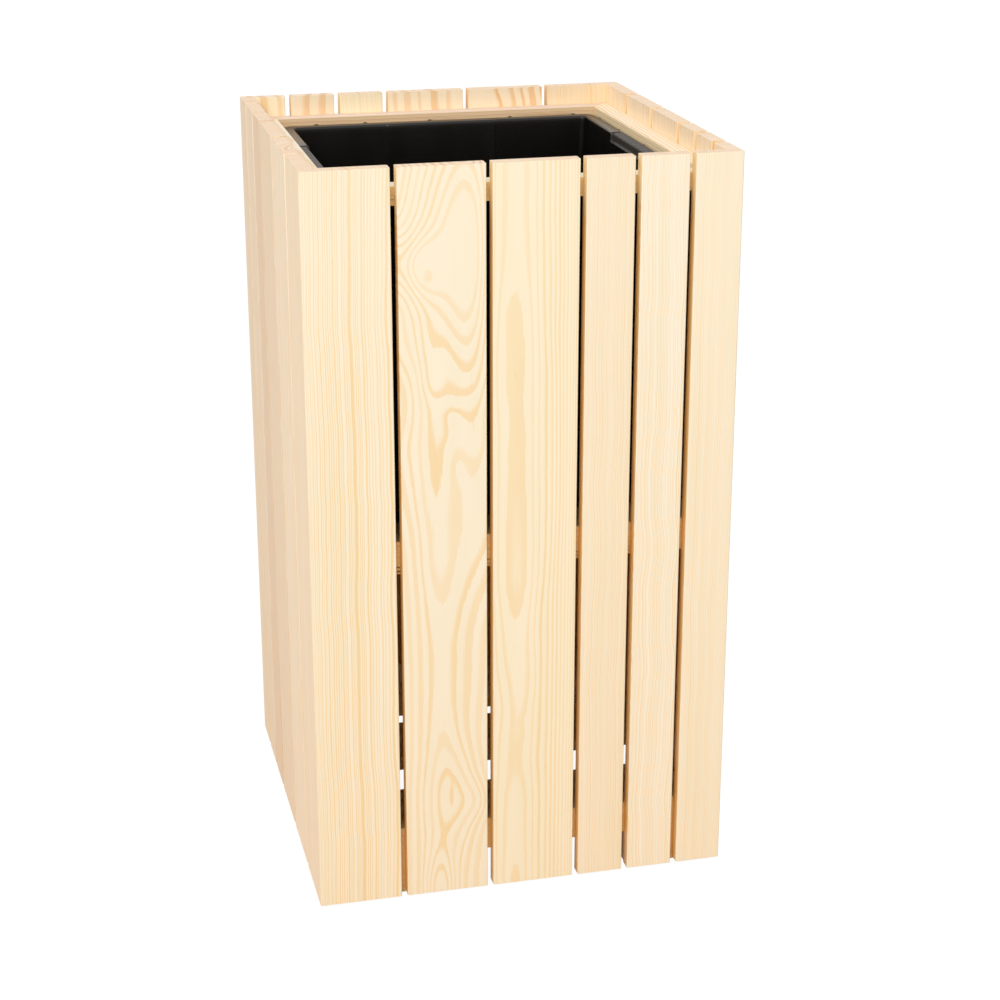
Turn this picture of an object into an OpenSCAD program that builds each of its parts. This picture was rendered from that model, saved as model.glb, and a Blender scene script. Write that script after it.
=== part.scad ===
/* [Slats] */
// Width of a wide slat
wide_w = 94; // [70:1:130]
// Width of a narrow slat
narrow_w = 53; // [40:1:80]
// Gap between neighbouring slats
slat_gap = 7; // [4:0.5:12]
// Thickness of a slat
slat_t = 16; // [12:0.5:24]
// Length of a slat
slat_len = 844; // [760:1:1000]
// Chamfer along the long edges of a slat
slat_chamfer = 0.8; // [0.3:0.1:2]

/* [Rails] */
// Depth of a rail, from the slats inwards
rail_d = 24; // [18:1:32]
// Height of a rail
rail_h = 20; // [19:1:30]
// Distance from the slat tops down to the top rails
top_rail_drop = 23; // [10:1:60]
// Height of the middle rails above the lower ends of the slats
mid_rail_rise = 391; // [300:1:450]
// Height of the bottom rails above the lower ends of the slats
bottom_rail_rise = 40; // [25:1:80]

/* [Boards] */
// Width of a shelf or floor board
board_w = 94; // [80:1:120]
// Thickness of a shelf or floor board
board_t = 18; // [14:0.5:22]
// Gap between a board's end and the slats
board_end_gap = 1; // [0.5:0.5:3]
// Distance between the two screws in a board's end
board_screw_pitch = 34; // [26:1:60]

/* [Feet] */
// Length of a foot block along the rail
foot_len = 94; // [80:1:130]
// Depth of a foot block, from the slats inwards
foot_d = 24; // [20:1:44]
// Distance that the feet stand below the slats
foot_drop = 4; // [2:0.5:20]
// Distance from a foot's outer end to its upright screw
foot_screw_inset = 32; // [28:1:34]

/* [Screws] */
// Shank diameter of a screw
screw_d = 4; // [3:0.1:5]
// Head diameter of a screw
head_d = 8; // [7:0.1:9]
// Room round a screw in its hole, on the diameter
screw_play = 0.2; // [0.1:0.05:0.4]
// Depth of a slat screw inside the slat
slat_bite = 11; // [7:0.5:11]
// Depth of a board screw inside the rail
board_bite = 10; // [7:0.5:10]
// Depth of a foot screw inside the rail
foot_bite = 15; // [8:0.5:16]
// Distance from the top of the front and back top rails down to their slat screws
top_screw_drop = 11.5; // [8:0.5:12]
// Distance that the slat screws of the left and right top rails sit below those
top_screw_step = 2; // [0:0.5:2.5]
// Distance from the top of a middle or bottom rail down to its slat screws
low_screw_drop = 14; // [13:0.5:14.5]
// Width of the cross recess in a screw head
cross_w = 1; // [0.6:0.1:1.4]
// Depth of the cross recess in a screw head
cross_depth = 1.4; // [0.8:0.1:1.8]

/* [Tub] */
// Distance from the top of the top rails down to the tub's rim
rim_drop = 8; // [2:0.5:30]
// Gap between the tub's rim and the rails
rim_play = 3; // [1:0.5:8]
// Width of the tub's rim
rim_w = 13.5; // [9:0.5:24]
// Height of the rim's outer skirt
skirt_h = 12; // [8:0.5:30]
// Wall thickness of the tub
tub_wall = 2.5; // [1.5:0.25:4]
// Distance that each wall leans in from the mouth to the floor of the tub
tub_taper = 18; // [8:1:40]
// Corner radius of the rim's outer edge
rim_corner_r = 14; // [10:1:24]
// Corner radius of the tub's mouth
mouth_corner_r = 6; // [4:1:16]
// Corner radius of the tub's floor
base_corner_r = 22; // [12:1:40]
// Gap between the tub and the shelf boards that it stands on
seat_gap = 0.3; // [0.1:0.1:1]

/* [Tub grips] */
// Length of a grip along the rim
grip_len = 130; // [100:1:180]
// Height of a grip's inner face, down to its ledge
grip_face_h = 11; // [8:0.5:20]
// Distance that a grip's inner face stands back from the mouth
grip_set_back = 2.5; // [1:0.5:5]
// Distance that a grip's top stands below the rim
grip_recess = 1; // [0.5:0.1:1.5]
// Height of a finger rib
rib_h = 0.8; // [0.3:0.1:1]
// Distance between finger ribs
rib_pitch = 16; // [12:1:24]

/* [Hidden] */
SIDES = ["front", "right", "back", "left"];
LEVELS = ["top", "mid", "bottom"];
$fn = 48;

// Slats on one side of the bin, outermost to outermost
SLATS_PER_SIDE = 6;
body_w = 3 * wide_w + 3 * narrow_w + 5 * slat_gap;
half_w = body_w / 2;

// The rail rings touch the slats' inner faces
ring_half = half_w - slat_t;
ring_inner = ring_half - rail_d;

// Heights, with the feet standing at zero
slat_z = foot_drop;
slat_top = slat_z + slat_len;
foot_h = foot_drop + bottom_rail_rise;
bottom_rail_z = foot_h;
mid_rail_z = slat_z + mid_rail_rise;
top_rail_z = slat_top - top_rail_drop - rail_h;
rail_z = [top_rail_z, mid_rail_z, bottom_rail_z];
screw_drop = [top_screw_drop, low_screw_drop, low_screw_drop];
shelf_z = mid_rail_z + rail_h;
floor_z = bottom_rail_z + rail_h;

// Screws: a countersunk head of 90 degrees, a shank and a short point
head_h = (head_d - screw_d) / 2;
point_h = 3;
slat_screw_len = rail_d + slat_bite;
board_screw_len = board_t + board_bite;
foot_slat_screw_len = foot_d + slat_bite;
foot_rail_screw_len = foot_h + foot_bite;
// A slat takes a screw only where this much of it shows inside the rail ring
screw_room = 3 * head_d;

// Tub
rim_half = ring_inner - rim_play;
mouth_half = rim_half - rim_w;
rim_z = top_rail_z + rail_h - rim_drop;
tub_z = shelf_z + board_t + seat_gap;
rib_count = floor(grip_len / rib_pitch);
rib_chord = 0.7 * rib_pitch;
rib_r = (pow(rib_chord / 2, 2) + pow(rib_h, 2)) / (2 * rib_h);

// Overshoot that keeps cuts clean
cut = 1;

function side_index(side) = search([side], SIDES)[0];
function level_index(level) = search([level], LEVELS)[0];

// Widths of the slats on a side, from left to right as seen from outside it
function widths(side) =
    side_index(side) % 2 == 0
    ? [wide_w, wide_w, wide_w, narrow_w, narrow_w, narrow_w]
    : [narrow_w, narrow_w, narrow_w, wide_w, wide_w, wide_w];
function total(list, count) = count > 0 ? list[count - 1] + total(list, count - 1) : 0;
function slat_left(side, i) = -half_w + total(widths(side), i - 1) + (i - 1) * slat_gap;
function slat_right(side, i) = slat_left(side, i) + widths(side)[i - 1];

// Stretch of a slat that shows inside the rail ring, and the screw at its middle
function inner_left(side, i) = max(slat_left(side, i), -ring_inner);
function inner_right(side, i) = min(slat_right(side, i), ring_inner);
function screw_x(side, i) = (inner_left(side, i) + inner_right(side, i)) / 2;
function has_screw(side, i) = inner_right(side, i) - inner_left(side, i) > screw_room;
function screw_step(side, level) = level == "top" && !is_footed(side) ? top_screw_step : 0;
function screw_z(side, level) =
    rail_z[level_index(level)] + rail_h - screw_drop[level_index(level)] - screw_step(side, level);

// Feet stand under the ends of the front and back rails
function is_footed(side) = side_index(side) % 2 == 0;
function over_foot(x) = abs(x) > ring_half - foot_len + head_d && abs(x) < ring_half - head_d;

// Across a board, from its own middle line
function board_y(i) = (i - 2) * (ring_half - board_w / 2);

module on_side(side) {
    rotate([0, 0, 90 * side_index(side)]) children();
}

// A countersunk screw pointing down, with the top of its head at zero
module screw(length) {
    color("silver")
    difference() {
        union() {
            translate([0, 0, -head_h]) cylinder(h = head_h, d1 = screw_d, d2 = head_d);
            translate([0, 0, point_h - length]) cylinder(h = length - point_h - head_h, d = screw_d);
            translate([0, 0, -length]) cylinder(h = point_h, d1 = screw_d / 4, d2 = screw_d);
        }
        for (turn = [0, 90])
            rotate([0, 0, turn])
            translate([-head_d * 0.3, -cross_w / 2, -cross_depth])
            cube([head_d * 0.6, cross_w, cross_depth + cut]);
    }
}

// The hole that such a screw sits in
module screw_hole(length) {
    hole_d = screw_d + screw_play;
    sink_d = head_d + screw_play;
    translate([0, 0, -length - screw_play]) cylinder(h = length + screw_play, d = hole_d);
    translate([0, 0, -head_h]) cylinder(h = head_h, d1 = hole_d, d2 = sink_d);
    cylinder(h = cut, d = sink_d);
}

// Places for the screws through one level's rails into the slats of one side
module at_slat_screws(side, level) {
    for (i = [1 : SLATS_PER_SIDE])
        if (has_screw(side, i))
            translate([screw_x(side, i), -ring_inner, screw_z(side, level)])
            rotate([-90, 0, 0])
            children();
}

// Places for the screws through the feet into the slats of one side
module at_foot_slat_screws(side) {
    if (is_footed(side))
        for (i = [1 : SLATS_PER_SIDE])
            if (has_screw(side, i) && over_foot(screw_x(side, i)))
                translate([screw_x(side, i), foot_d - ring_half, foot_h / 2]) rotate([-90, 0, 0]) children();
}

// Places for the upright screws through the feet into the bottom rails of one side
module at_foot_rail_screws(side) {
    if (is_footed(side))
        for (hand = [-1, 1])
            translate([hand * (ring_half - foot_screw_inset), rail_d / 2 - ring_half, 0])
            rotate([180, 0, 0]) children();
}

// Places for the screws through the ends of the boards, for boards that lie at height z
module at_board_screws(z) {
    for (i = [1 : 3], end = [-1, 1], row = [-0.5, 0.5])
        translate([end * (ring_half - rail_d / 2), board_y(i) + row * board_screw_pitch, z + board_t])
        children();
}

// Outline of a slat's left end seen from above, from its inner face to its outer face
function left_end(x, mitred) =
    mitred
    ? [
        [x + slat_t, -ring_half],
        [x + slat_chamfer / 2, slat_chamfer / 2 - half_w],
        [x + slat_chamfer, -half_w]
      ]
    : [
        [x + slat_chamfer, -ring_half],
        [x, -ring_half - slat_chamfer],
        [x, slat_chamfer - half_w],
        [x + slat_chamfer, -half_w]
      ];
function mirrored(points) = [for (i = [len(points) - 1 : -1 : 0]) [-points[i][0], points[i][1]]];

module slat(side, i) {
    left = left_end(slat_left(side, i), i == 1);
    right = mirrored(left_end(-slat_right(side, i), i == SLATS_PER_SIDE));
    color("navajowhite")
    on_side(side)
    difference() {
        translate([0, 0, slat_z]) linear_extrude(slat_len) polygon(concat(left, right));
        for (level = LEVELS) at_slat_screws(side, level) screw_hole(slat_screw_len);
        at_foot_slat_screws(side) screw_hole(foot_slat_screw_len);
    }
}

// Outline of a rail from above, mitred at both ends
module rail_plan() {
    polygon([
        [-ring_half, -ring_half],
        [ring_half, -ring_half],
        [ring_inner, -ring_inner],
        [-ring_inner, -ring_inner]
    ]);
}

module rail(level, side) {
    z = rail_z[level_index(level)];
    color("burlywood")
    difference() {
        on_side(side)
        difference() {
            translate([0, 0, z]) linear_extrude(rail_h) rail_plan();
            at_slat_screws(side, level) screw_hole(slat_screw_len);
            if (level == "bottom") at_foot_rail_screws(side) screw_hole(foot_rail_screw_len);
        }
        if (level != "top" && !is_footed(side)) at_board_screws(z + rail_h) screw_hole(board_screw_len);
    }
}

module board(i, z) {
    length = 2 * (ring_half - board_end_gap);
    color("burlywood")
    difference() {
        translate([-length / 2, board_y(i) - board_w / 2, z]) cube([length, board_w, board_t]);
        at_board_screws(z) screw_hole(board_screw_len);
    }
}

// hand is -1 for the foot at the left end of the side, seen from outside, and 1 for the right
module foot(side, hand) {
    x = hand < 0 ? -ring_half : ring_half - foot_len;
    color("tan")
    on_side(side)
    difference() {
        translate([x, -ring_half, 0]) cube([foot_len, foot_d, foot_h]);
        at_foot_slat_screws(side) screw_hole(foot_slat_screw_len);
        at_foot_rail_screws(side) screw_hole(foot_rail_screw_len);
    }
}

module slat_screws(level) {
    for (side = SIDES)
        on_side(side) at_slat_screws(side, level) screw(slat_screw_len);
}

module foot_slat_screws() {
    for (side = SIDES)
        on_side(side) at_foot_slat_screws(side) screw(foot_slat_screw_len);
}

module foot_rail_screws() {
    for (side = SIDES)
        on_side(side) at_foot_rail_screws(side) screw(foot_rail_screw_len);
}

module shelf_screws() {
    at_board_screws(shelf_z) screw(board_screw_len);
}

module floor_screws() {
    at_board_screws(floor_z) screw(board_screw_len);
}

// A flat square plate with rounded corners, centred
module rounded_plate(half, corner_r, height) {
    linear_extrude(height)
    union() {
        square([2 * half, 2 * (half - corner_r)], center = true);
        square([2 * (half - corner_r), 2 * half], center = true);
        for (x = [-1, 1], y = [-1, 1])
            translate([x * (half - corner_r), y * (half - corner_r)]) circle(corner_r);
    }
}

// A square block that narrows from its top down to its foot
module tapered_block(top_half, top_r, foot_half, foot_r, height) {
    sliver = 0.01;
    hull() {
        for (x = [-1, 1], y = [-1, 1]) {
            translate([x * (foot_half - foot_r), y * (foot_half - foot_r), 0])
            cylinder(h = sliver, r = foot_r, $fn = 32);
            translate([x * (top_half - top_r), y * (top_half - top_r), height - sliver])
            cylinder(h = sliver, r = top_r, $fn = 32);
        }
    }
}

module tub_shell() {
    foot_half = mouth_half - tub_taper;
    depth = rim_z - tub_z;
    difference() {
        translate([0, 0, tub_z])
        tapered_block(mouth_half + tub_wall, mouth_corner_r + tub_wall,
            foot_half + tub_wall, base_corner_r, depth);
        translate([0, 0, tub_z + tub_wall])
        tapered_block(mouth_half, mouth_corner_r, foot_half, base_corner_r - tub_wall, depth);
    }
}

// Flat rim with a skirt that hangs down round its outer edge
module tub_rim() {
    translate([0, 0, rim_z - tub_wall])
    difference() {
        rounded_plate(rim_half, rim_corner_r, tub_wall);
        translate([0, 0, -cut]) rounded_plate(mouth_half, mouth_corner_r, tub_wall + 2 * cut);
    }
    translate([0, 0, rim_z - skirt_h])
    difference() {
        rounded_plate(rim_half, rim_corner_r, skirt_h - tub_wall / 2);
        translate([0, 0, -cut])
        rounded_plate(rim_half - tub_wall, rim_corner_r - tub_wall, skirt_h + 2 * cut);
    }
}

// The space that a grip opens in the rim and the wall, down to its ledge
module grip_recess_space() {
    translate([mouth_half - tub_taper, -grip_len / 2, rim_z - grip_face_h])
    cube([tub_taper + grip_set_back, grip_len, grip_face_h + cut]);
    translate([mouth_half, -grip_len / 2, rim_z - grip_recess])
    cube([rim_w + cut, grip_len, grip_recess + cut]);
}

// The pad under a grip and the wall behind its inner face
module grip_body() {
    pad_t = grip_recess + rib_h + tub_wall;
    translate([mouth_half, -grip_len / 2 - tub_wall, rim_z - pad_t])
    cube([rim_w - tub_wall / 2, grip_len + 2 * tub_wall, pad_t - tub_wall / 2]);
    translate([mouth_half, -grip_len / 2 - tub_wall, rim_z - grip_face_h - tub_wall])
    cube([grip_set_back + tub_wall, grip_len + 2 * tub_wall, grip_face_h + tub_wall / 2]);
}

// Rounded ribs across the rim for the fingers, one every rib_pitch
module grip_ribs() {
    rib_top = rim_z - grip_recess + rib_h;
    intersection() {
        for (i = [0 : rib_count - 1])
            translate([mouth_half, (i - (rib_count - 1) / 2) * rib_pitch, rib_top - rib_r])
            rotate([0, 90, 0])
            cylinder(h = rim_w, r = rib_r);
        translate([mouth_half + grip_set_back, -grip_len / 2, rim_z - grip_recess - tub_wall / 2])
        cube([rim_w - grip_set_back, grip_len, tub_wall / 2 + rib_h + cut]);
    }
}

module tub() {
    color("dimgray") {
        difference() {
            union() {
                tub_shell();
                tub_rim();
                for (turn = [0, 180]) rotate([0, 0, turn]) grip_body();
            }
            for (turn = [0, 180]) rotate([0, 0, turn]) grip_recess_space();
        }
        for (turn = [0, 180]) rotate([0, 0, turn]) grip_ribs();
    }
}

for (side = SIDES, i = [1 : SLATS_PER_SIDE])
    slat(side, i);
for (level = LEVELS, side = SIDES)
    rail(level, side);
for (i = [1 : 3])
    board(i, shelf_z);
for (i = [1 : 3])
    board(i, floor_z);
foot("front", -1);  // foot_front_left
foot("front", 1);  // foot_front_right
foot("back", 1);  // foot_back_left
foot("back", -1);  // foot_back_right
for (level = LEVELS)
    slat_screws(level);
foot_slat_screws();
foot_rail_screws();
shelf_screws();
floor_screws();
tub();
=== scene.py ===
import math
import random

import bmesh
import bpy
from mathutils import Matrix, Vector


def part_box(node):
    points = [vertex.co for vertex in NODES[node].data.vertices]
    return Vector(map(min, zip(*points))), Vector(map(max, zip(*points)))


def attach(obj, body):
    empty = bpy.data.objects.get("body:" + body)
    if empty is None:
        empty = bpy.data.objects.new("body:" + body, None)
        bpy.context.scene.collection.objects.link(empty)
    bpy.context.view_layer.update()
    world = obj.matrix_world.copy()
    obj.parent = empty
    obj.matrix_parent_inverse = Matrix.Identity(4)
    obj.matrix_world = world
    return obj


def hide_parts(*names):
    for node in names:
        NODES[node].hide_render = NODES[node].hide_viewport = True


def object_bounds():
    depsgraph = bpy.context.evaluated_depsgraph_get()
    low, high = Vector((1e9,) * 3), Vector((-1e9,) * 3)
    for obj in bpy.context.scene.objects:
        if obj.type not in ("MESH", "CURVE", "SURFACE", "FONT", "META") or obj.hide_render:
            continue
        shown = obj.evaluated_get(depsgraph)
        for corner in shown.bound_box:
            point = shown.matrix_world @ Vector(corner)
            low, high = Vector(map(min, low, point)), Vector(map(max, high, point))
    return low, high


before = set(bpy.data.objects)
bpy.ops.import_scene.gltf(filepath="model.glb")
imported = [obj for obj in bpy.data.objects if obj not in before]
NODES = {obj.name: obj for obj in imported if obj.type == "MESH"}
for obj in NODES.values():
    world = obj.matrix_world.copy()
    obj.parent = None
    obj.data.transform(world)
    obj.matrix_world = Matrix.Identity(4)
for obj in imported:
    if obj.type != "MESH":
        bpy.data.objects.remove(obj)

# The looks of a slatted pine litter bin with a lift-out black plastic tub.
# Lengths are metres in the scene and millimetres inside the wood and tub sections.

MM = 0.001
CAD_LOW, CAD_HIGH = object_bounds()
SIDES = ["front", "right", "back", "left"]


# ---------------------------------------------------------------- shader helpers

NODES_IN_ROW = 12
NODE_STEP_X = 180
NODE_STEP_Y = -220


class Graph:
    """Adds shader nodes to one node tree and links them."""

    def __init__(self, tree):
        self.tree = tree
        self.count = 0

    def add(self, kind, **settings):
        """A new node with its settings made, placed in rows."""
        node = self.tree.nodes.new(kind)
        row, column = divmod(self.count, NODES_IN_ROW)
        node.location = (NODE_STEP_X * column, NODE_STEP_Y * row)
        self.count += 1
        for key, value in settings.items():
            setattr(node, key, value)
        return node

    def plug(self, socket, value):
        """Links an output into the socket, or sets the socket to a plain value."""
        if isinstance(value, bpy.types.NodeSocket):
            self.tree.links.new(value, socket)
        else:
            socket.default_value = value

    def math(self, operation, *values, clamp=False):
        node = self.add("ShaderNodeMath", operation=operation, use_clamp=clamp)
        for socket, value in zip(node.inputs, values):
            self.plug(socket, value)
        return node.outputs[0]

    def vector(self, operation, *values):
        node = self.add("ShaderNodeVectorMath", operation=operation)
        for socket, value in zip(node.inputs, values):
            self.plug(socket, value)
        name = "Value" if operation in ("DOT_PRODUCT", "LENGTH") else "Vector"
        return node.outputs[name]

    def scaled(self, vector, factors):
        """The vector with each part times its own factor."""
        return self.vector("MULTIPLY", vector, factors)

    def stretched(self, vector, factor):
        """The whole vector times one number."""
        result = self.vector("SCALE", vector)
        self.plug(result.node.inputs["Scale"], factor)
        return result

    def split(self, vector):
        node = self.add("ShaderNodeSeparateXYZ")
        self.plug(node.inputs[0], vector)
        return node.outputs[0], node.outputs[1], node.outputs[2]

    def join(self, x, y, z):
        node = self.add("ShaderNodeCombineXYZ")
        for socket, value in zip(node.inputs, (x, y, z)):
            self.plug(socket, value)
        return node.outputs[0]

    def noise(self, vector, scale=1.0, detail=2.0, roughness=0.5):
        """Noise centred on zero, from about -0.5 to 0.5."""
        node = self.add("ShaderNodeTexNoise", noise_dimensions="3D")
        self.plug(node.inputs["Vector"], vector)
        self.plug(node.inputs["Scale"], scale)
        self.plug(node.inputs["Detail"], detail)
        self.plug(node.inputs["Roughness"], roughness)
        return self.math("SUBTRACT", node.outputs["Fac"], 0.5)

    def noise_1d(self, place, detail):
        """Colour noise along one number, each channel from about 0 to 1."""
        node = self.add("ShaderNodeTexNoise", noise_dimensions="1D")
        self.plug(node.inputs["W"], place)
        node.inputs["Scale"].default_value = 1.0
        node.inputs["Detail"].default_value = detail
        return node.outputs["Color"]

    def ramp(self, value, low, high):
        """Smooth step from 0 at low to 1 at high."""
        node = self.add("ShaderNodeMapRange", interpolation_type="SMOOTHSTEP")
        self.plug(node.inputs["Value"], value)
        self.plug(node.inputs["From Min"], low)
        self.plug(node.inputs["From Max"], high)
        return node.outputs["Result"]

    def grey(self, value):
        """The same value in all three channels."""
        return self.join(value, value, value)

    def mix(self, factor, first, second, blend="MIX"):
        """The first colour towards the second by the factor, or blended with it."""
        node = self.add("ShaderNodeMix", data_type="RGBA", blend_type=blend)
        self.plug(node.inputs["Factor"], factor)
        self.plug(node.inputs["A"], first)
        self.plug(node.inputs["B"], second)
        return node.outputs["Result"]

    def group(self, tree, values):
        """A use of a node group with its inputs given by name."""
        node = self.add("ShaderNodeGroup", node_tree=tree)
        for name, value in values.items():
            self.plug(node.inputs[name], value)
        return node.outputs

    def relief(self, shader, height, distance, strength=1.0):
        """Bump of the given height on the shader, distance in metres."""
        node = self.add("ShaderNodeBump")
        node.inputs["Distance"].default_value = distance
        node.inputs["Strength"].default_value = strength
        self.plug(node.inputs["Height"], height)
        self.plug(shader.inputs["Normal"], node.outputs[0])


def new_group(name, inputs, outputs):
    """A node group. An input's default tells its kind: number, 3 for vector, 4 for colour."""
    tree = bpy.data.node_groups.new(name, "ShaderNodeTree")
    for label, value in inputs.items():
        kind = "NodeSocketFloat"
        if isinstance(value, tuple):
            kind = "NodeSocketColor" if len(value) == 4 else "NodeSocketVector"
        socket = tree.interface.new_socket(label, in_out="INPUT", socket_type=kind)
        socket.default_value = value
    for label, kind in outputs.items():
        tree.interface.new_socket(label, in_out="OUTPUT", socket_type=kind)
    graph = Graph(tree)
    ins = graph.add("NodeGroupInput").outputs
    outs = graph.add("NodeGroupOutput").inputs
    return tree, graph, ins, outs


def new_material(name):
    material = bpy.data.materials.new(name)
    material.use_nodes = True
    tree = material.node_tree
    shader = tree.nodes["Principled BSDF"]
    return material, Graph(tree), shader


def new_object(name, data):
    """A new object in the scene."""
    thing = bpy.data.objects.new(name, data)
    bpy.context.scene.collection.objects.link(thing)
    return thing


def mesh_object(name, bm):
    """A new object in the scene, from a finished bmesh."""
    mesh = bpy.data.meshes.new(name)
    bm.to_mesh(mesh)
    bm.free()
    return new_object(name, mesh)


def srgb(red, green, blue):
    """A colour given as 8-bit sRGB values, in the linear values that shaders use."""
    def linear(value):
        value /= 255
        return value / 12.92 if value <= 0.04045 else ((value + 0.055) / 1.055) ** 2.4
    return (linear(red), linear(green), linear(blue), 1.0)


# ---------------------------------------------------------------- pine

EARLY = srgb(252, 242, 218)
LATE = srgb(249, 221, 170)
AMBER = srgb(240, 199, 142)
RUST = srgb(226, 178, 124)
DUCT = srgb(222, 172, 112)
END_EARLY = srgb(242, 221, 196)
END_LATE = srgb(226, 189, 152)
PAINTED_WARM_SHADE = (0.98, 0.81, 0.52)    # painted warm shade: what a surface fully in shade is multiplied by

# How growth rings run. Lengths are millimetres, the rest is in rings or parts of a ring.
THROUGH = 1e4            # a bulge reaches right through the board
NO_FLOOR = -1000.0       # a floor below every ring, for boards without one
SLOW_LENGTH = 150        # the pith's slow wander along the log, and how far it goes
SLOW_REACH = 12.0
QUICK_LENGTH = 38        # and its quicker, smaller one
QUICK_REACH = 2.2
WOBBLE_CELL = (1 / 32, 1 / 32, 1 / 170)
WOBBLE_REACH = 5.0
FLOOR_BLEND = 1.2        # how softly rings flatten out at their floor
UNEVEN_PACE = 0.55       # how fast the rings' widths change
TORN_CELL = (0.55, 0.55, 0.03)
TORN_REACH = 0.13
ONSET_SPREAD = 0.28      # how much the start of latewood varies from ring to ring
LATE_RISE = 0.24         # latewood darkens over this part of a ring
LATE_END = 0.96          # and ends sharply after this part
CHANCE_STEP = 13.7       # how far boards' seeds move them in their noises
RING_NOISE_STEP = 37.0
WOOD_NOISE_STEP = 53.0

# Scales of the wood's fine detail, per millimetre across, in depth and along.
FIBRE_CELL = (1.6, 1.6, 0.018)
BROAD_CELL = (0.045, 0.045, 0.0035)
DUCT_CELL = (1.3, 1.3, 0.045)
SAWN_CELL = (0.35, 2.6, 1.0)
PORE_CELL = (2.4, 2.4, 0.05)


def build_swell_group():
    """A smooth swelling of the growth rings round a place in the board, in rings."""
    tree, g, ins, outs = new_group(
        "swelling",
        {"Place": (0.0, 0.0, 0.0), "Centre": (0.0, 0.0, 0.0), "Reach": (20.0, THROUGH, 60.0),
         "Height": 1.0, "Power": 2.0, "Before": 0.0},
        {"Rings": "NodeSocketFloat"},
    )
    offset = g.vector("SUBTRACT", ins["Place"], ins["Centre"])
    distance = g.vector("LENGTH", g.vector("DIVIDE", offset, ins["Reach"]))
    fall = g.math("MULTIPLY", g.math("POWER", distance, ins["Power"]), -1.0)
    fall = g.math("EXPONENT", fall)
    g.plug(outs["Rings"], g.math("MULTIPLY_ADD", fall, ins["Height"], ins["Before"]))
    return tree


def wandering_pith(g, ins, along):
    """Where the pith lies at one place along the board."""
    drifts = []
    for length, reach in ((SLOW_LENGTH, SLOW_REACH), (QUICK_LENGTH, QUICK_REACH)):
        noise = g.noise_1d(g.math("MULTIPLY_ADD", along, 1 / length, ins["Seed"]), 1.0)
        centred = g.vector("SUBTRACT", noise, (0.5, 0.5, 0.5))
        drifts.append(g.scaled(centred, (reach, reach, 0.0)))
    wander = g.stretched(g.vector("ADD", *drifts), ins["Wave"])
    lean = g.stretched(ins["Lean"], along)
    pith = g.vector("ADD", g.vector("ADD", ins["Pith"], lean), wander)
    bent = g.math("MULTIPLY", g.ramp(along, ins["Bend From"], ins["Bend To"]), ins["Bend"])
    return g.vector("ADD", pith, g.join(bent, 0.0, 0.0))


def ring_number(g, ins, moved):
    """The growth ring at a place, as a number that rises by one from ring to ring."""
    along = g.split(ins["Place"])[2]
    pith = wandering_pith(g, ins, along)
    offset = g.scaled(g.vector("SUBTRACT", ins["Place"], pith), (1.0, 1.0, 0.0))
    radius = g.vector("LENGTH", offset)
    wobble = g.noise(g.scaled(moved, WOBBLE_CELL), 1.0, 1.0)
    wobble = g.math("MULTIPLY", g.math("MULTIPLY", wobble, WOBBLE_REACH), ins["Wave"])
    radius = g.math("ADD", radius, wobble)
    grown = g.math("MULTIPLY", g.math("MULTIPLY", radius, radius), ins["Taper"])
    rings = g.math("DIVIDE", g.math("ADD", radius, grown), ins["Spacing"])
    rings = g.math("ADD", rings, ins["Swell"])
    rings = g.math("SMOOTH_MAX", rings, ins["Floor"], FLOOR_BLEND)
    return g.math("ADD", rings, ins["Fleck"])


def roughened(g, ins, rings, moved):
    """Rings of uneven width, with torn edges."""
    pace = g.math("MULTIPLY_ADD", rings, UNEVEN_PACE, ins["Seed"])
    uneven = g.split(g.noise_1d(pace, 0.0))[0]
    uneven = g.math("MULTIPLY", g.math("SUBTRACT", uneven, 0.5), ins["Uneven"])
    rings = g.math("ADD", rings, uneven)
    torn = g.noise(g.scaled(moved, TORN_CELL), 1.0, 3.0, 0.65)
    torn = g.math("MULTIPLY", torn, g.math("MULTIPLY", ins["Ragged"], TORN_REACH))
    return g.math("ADD", rings, torn)


def latewood(g, ins, rings):
    """How much of the dark latewood shows: it rises within a ring and ends sharply."""
    part = g.math("FRACT", rings)
    chance = g.add("ShaderNodeTexWhiteNoise", noise_dimensions="1D")
    whole = g.math("FLOOR", rings)
    g.plug(chance.inputs["W"], g.math("MULTIPLY_ADD", ins["Seed"], CHANCE_STEP, whole))
    pick = g.split(chance.outputs["Color"])
    spread = g.math("SUBTRACT", pick[0], 0.5)
    onset = g.math("MULTIPLY_ADD", spread, ONSET_SPREAD, ins["Onset"])
    rise = g.ramp(part, onset, g.math("ADD", onset, LATE_RISE))
    fall = g.math("SUBTRACT", 1.0, g.ramp(part, LATE_END, 1.0))
    strength = g.math("MULTIPLY_ADD", pick[1], 0.5, 0.5)
    return g.math("MULTIPLY", g.math("MULTIPLY", rise, fall), strength)


def build_ring_group():
    """The amount of latewood in growth rings round a wandering pith."""
    tree, g, ins, outs = new_group(
        "growth_rings",
        {"Place": (0.0, 0.0, 0.0), "Pith": (0.0, -60.0, 0.0), "Lean": (0.0, 0.0, 0.0),
         "Spacing": 4.0, "Taper": 0.0, "Wave": 1.0, "Swell": 0.0, "Seed": 0.0,
         "Onset": 0.5, "Ragged": 1.0, "Uneven": 1.0, "Bend From": 0.0, "Bend To": 1.0,
         "Bend": 0.0, "Floor": NO_FLOOR, "Fleck": 0.0},
        {"Latewood": "NodeSocketFloat"},
    )
    shift = g.math("MULTIPLY", ins["Seed"], RING_NOISE_STEP)
    moved = g.vector("ADD", ins["Place"], g.join(shift, 0.0, 0.0))
    rings = ring_number(g, ins, moved)
    rings = roughened(g, ins, rings, moved)
    g.plug(outs["Latewood"], latewood(g, ins, rings))
    return tree


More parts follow.
